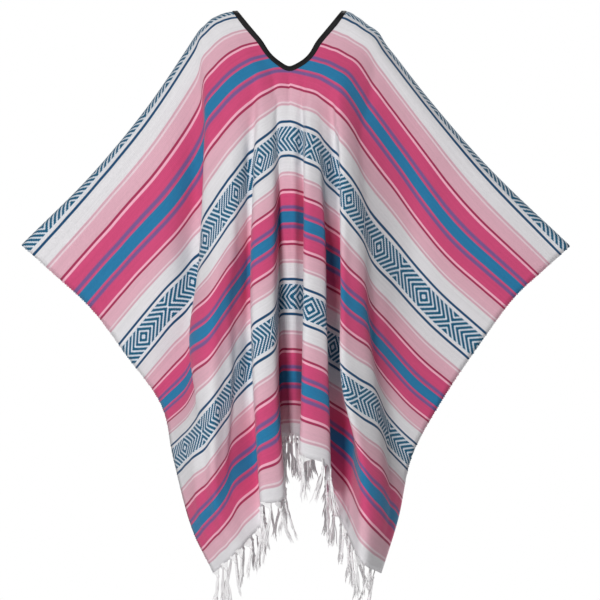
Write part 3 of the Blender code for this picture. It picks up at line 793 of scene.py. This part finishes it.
def selvage_loops(points, cloth, chance):
    """Tubes of one selvage's loops, and their cloth coordinates: half waves out of the edge and back."""
    along = cloth[:, -1, 1]
    starts = np.arange(along[0], along[-1] - LOOP_SPACING, LOOP_SPACING)
    share = np.linspace(0.0, 1.0, LOOP_STEPS)
    places = starts[:, None] + share * LOOP_SPACING
    edge = np.stack([np.interp(places, along, points[:, -1, axis]) for axis in range(3)], axis=2)
    inner = np.stack([np.interp(places, along, points[:, -3, axis]) for axis in range(3)], axis=2)
    outside = LOOP_OUTSIDE * chance.uniform(*LOOP_SPREAD, (len(starts), 1))
    reach = np.sin(math.pi * share) * (outside + LOOP_INSIDE) - LOOP_INSIDE
    paths = edge + (edge - inner) / lengths_of(edge - inner) * reach[:, :, None]
    loop_points, loop_quads = tubes(paths, np.full(places.shape, WEFT_RADIUS), LOOP_SIDES)
    uv = np.stack([np.full(places.size, cloth[0, -1, 0]), places.ravel()], axis=1)
    return loop_points, loop_quads, np.repeat(uv, LOOP_SIDES, axis=0)


chance = np.random.default_rng(LOOP_SEED)
left_loops, right_loops = (selvage_loops(*half, chance) for half in halves)
selvages = mesh_object("selvage_loops", np.concatenate([left_loops[0], right_loops[0]]),
                       np.concatenate([left_loops[1], right_loops[1] + len(left_loops[0])]),
                       cloth.data.materials[0], np.concatenate([left_loops[2], right_loops[2]]))
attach(selvages, "root")


# Fringe: the warp ends left past the last pick at each hem. Two groups of ends run to one
# knot, and the twisted ends hang below it, a little crimped, splayed and uneven.
TASSEL_SPACING = 0.0370
SPACING_SPREAD = 0.2
MIDDLE_SPACING = 0.0095
MIDDLE_HALF = 0.040
KNOT_DROP = 0.0130
DROP_SPREAD = (0.75, 1.3)
KNOT_SHIFT = 0.15
KNOT_SIZE = (0.0031, 0.0031, 0.0038)
KNOT_SPREAD = (0.85, 1.2)
KNOT_SIDES = 8
KNOT_RINGS = 7
TASSEL_LENGTH = 0.068
LENGTH_SPREAD = (0.78, 1.12)
TASSEL_LEAN = 0.17
FULLNESS_SPREAD = (0.3, 1.5)
ENDS_IN_TASSEL = 9
END_SPREAD = (0.80, 1.06)
END_SPLAY = 0.046
END_RADIUS = 0.00105
THIN_END = 0.72
END_GAIN = 0.30
END_SIDES = 5
END_STEPS = 11
KNOT_STEP = 3
ROOT_SHARE = 0.9
ROOT_DEPTH = 0.003
SWING_POWER = 1.3
CRIMP_TURNS = (9.0, 7.0)
CRIMP_HEIGHT = 0.0011

# The yarn: its two tones, the darker for cloudiness and for painted shade in the hollows between plies; the
# scales of its twist and its cloudiness, and what each adds
YARN_WHITE = dye(255, 255, 255)
YARN_TONE_AND_PLY_SHADE = dye(238, 235, 237)
TWIST_SCALE = 160.0
PLY_SHADE_SHARE = 0.35
TWIST_STRENGTH = 0.5
TWIST_DEPTH = 0.0003
CLOUD_SCALE = 70.0
CLOUD_SHARE = 0.5

# Columns: step along a warp end, and its thickness there as a share of the end's own
END_TAPER = ((0, 1.0), (2, 1.0), (KNOT_STEP, 1.1), (END_STEPS - 2, 0.9), (END_STEPS - 1, 0.25))

# Columns: face, the grid rows of its hem and of the row above it, and its random seed
HEMS = (("front", 0, 1, 11), ("back", -1, -2, 12))


def hem_frame(side_halves, row, inner_row, reaches):
    """Points along a hem at signed distances from the middle, with the way down the cloth there."""
    left, right = side_halves
    hem = np.concatenate([left[0][row, :0:-1], right[0][row]])
    above = np.concatenate([left[0][inner_row, :0:-1], right[0][inner_row]])
    across = np.concatenate([left[1][row, :0:-1, 0], right[1][row, :, 0]])
    point = np.stack([np.interp(reaches, across, hem[:, axis]) for axis in range(3)], axis=1)
    upper = np.stack([np.interp(reaches, across, above[:, axis]) for axis in range(3)], axis=1)
    return point, (point - upper) / lengths_of(point - upper)


def tassel_paths(points, downs, chance):
    """Paths of every end: from the hem to its knot, then hanging to a ragged tip.

    Below the knot an end moves aside by swing * fall ** SWING_POWER, and by a small crimp."""
    count = len(points)
    beyond = np.roll(points, -1, axis=0)
    beyond[-1] = points[-1]
    run = np.clip(lengths_of(beyond - points), MM, TASSEL_SPACING)
    across = (beyond - points) / np.maximum(lengths_of(beyond - points), HAIR)
    knot = points + downs * KNOT_DROP * chance.uniform(*DROP_SPREAD, (count, 1))
    knot += across * run * chance.uniform(-KNOT_SHIFT, KNOT_SHIFT, (count, 1))
    lean = chance.normal(0.0, TASSEL_LEAN, (count, 1, 2))
    fullness = chance.uniform(*FULLNESS_SPREAD, (count, 1, 1))
    length = TASSEL_LENGTH * chance.uniform(*LENGTH_SPREAD, (count, 1))
    root = ((np.arange(ENDS_IN_TASSEL) + 0.5) / ENDS_IN_TASSEL - 0.5)[None, :, None] * ROOT_SHARE
    start = points[:, None] + across[:, None] * run[:, None] * root - downs[:, None] * ROOT_DEPTH
    own_length = length * chance.uniform(*END_SPREAD, (count, ENDS_IN_TASSEL))
    splay = chance.normal(0.0, END_SPLAY, (count, ENDS_IN_TASSEL, 2)) * fullness
    crimp = chance.uniform(0.0, math.tau, (count, ENDS_IN_TASSEL, 2))
    step = np.arange(END_STEPS)
    fall = np.clip((step - KNOT_STEP) / (END_STEPS - 1 - KNOT_STEP), 0.0, 1.0)[None, None, :, None]
    to_knot = np.clip(step / KNOT_STEP, 0.0, 1.0)[None, None, :, None]
    paths = start[:, :, None] * (1.0 - to_knot) + knot[:, None, None] * to_knot
    swing = (lean + splay)[:, :, None, :] * fall ** SWING_POWER
    wave = np.sin(crimp[:, :, None, :] + fall * CRIMP_TURNS) * CRIMP_HEIGHT * (fall > 0.0)
    paths[..., :2] += swing * own_length[:, :, None, None] + wave
    paths[..., 2] -= fall[..., 0] * own_length[:, :, None]
    thickness = np.repeat(THIN_END + END_GAIN * fullness[:, 0], ENDS_IN_TASSEL, axis=0)
    return paths.reshape(-1, END_STEPS, 3), knot, thickness


def knots(points, chance):
    """Small uneven knots: at each point a squashed ball, size * (cos a cos h, sin a cos h, sin h)."""
    around = np.arange(KNOT_SIDES) * math.tau / KNOT_SIDES
    height = np.linspace(-math.pi / 2.0, math.pi / 2.0, KNOT_RINGS)[:, None]
    ball = np.stack([np.cos(around) * np.cos(height), np.sin(around) * np.cos(height),
                     np.sin(height) + 0.0 * around], axis=2)
    size = chance.uniform(*KNOT_SPREAD, (len(points), 1, 1, 3)) * KNOT_SIZE
    placed = points[:, None, None] + ball * size
    return placed.reshape(-1, 3), ring_quads(len(points), KNOT_RINGS, KNOT_SIDES)


def white_warp(name):
    """Finish of the warp ends: off-white twisted cotton, with painted shade in the hollows between its plies
    and a cloudy tone.
    """
    finish = Finish(name, 0.95)
    place = finish.node("ShaderNodeTexCoord").outputs["Object"]
    twist = finish.node("ShaderNodeTexWave", {"wave_type": "BANDS", "bands_direction": "DIAGONAL"},
                        {"Vector": place, "Scale": TWIST_SCALE, "Distortion": 3.0, "Detail": 1.0})
    cloud = finish.node("ShaderNodeTexNoise", None,
                        {"Vector": place, "Scale": CLOUD_SCALE, "Detail": 3.0})
    # The twist's bands paint shade into the hollows between the plies, and the cloud varies the tone at
    # random
    share = (Wire(finish, twist.outputs["Fac"]) * PLY_SHADE_SHARE
             + Wire(finish, cloud.outputs["Fac"]) * CLOUD_SHARE)
    finish.feed(finish.shader.inputs["Base Color"], finish.mix(share, YARN_WHITE, YARN_TONE_AND_PLY_SHADE))
    finish.bump(twist.outputs["Fac"], TWIST_STRENGTH, TWIST_DEPTH)
    finish.set_values({"Sheen Weight": 0.2})
    return finish.material


warp_finish = white_warp("white_warp_ends")
for name, row, inner_row, seed in HEMS:
    chance = np.random.default_rng(seed)
    reaches = np.arange(TASSEL_SPACING / 2.0 - HALF_WIDTH, HALF_WIDTH - TASSEL_SPACING / 2.0, TASSEL_SPACING)
    reaches += chance.uniform(-SPACING_SPREAD, SPACING_SPREAD, len(reaches)) * TASSEL_SPACING
    reaches = np.concatenate([reaches[np.abs(reaches) > MIDDLE_HALF],
                              np.arange(-MIDDLE_HALF, MIDDLE_HALF, MIDDLE_SPACING)])
    reaches.sort()
    hem_points, hem_downs = hem_frame(halves, row, inner_row, reaches)
    paths, knot_points, thickness = tassel_paths(hem_points, hem_downs, chance)
    taper = np.interp(np.arange(END_STEPS), *zip(*END_TAPER))
    end_points, end_quads = tubes(paths, END_RADIUS * thickness * taper, END_SIDES)
    knot_mesh, knot_quads = knots(knot_points, chance)
    fringe = mesh_object(name + "_warp_ends", np.concatenate([end_points, knot_mesh]),
                         np.concatenate([end_quads, knot_quads + len(end_points)]), warp_finish)
    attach(fringe, "root")
    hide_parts(name + "_fringe")
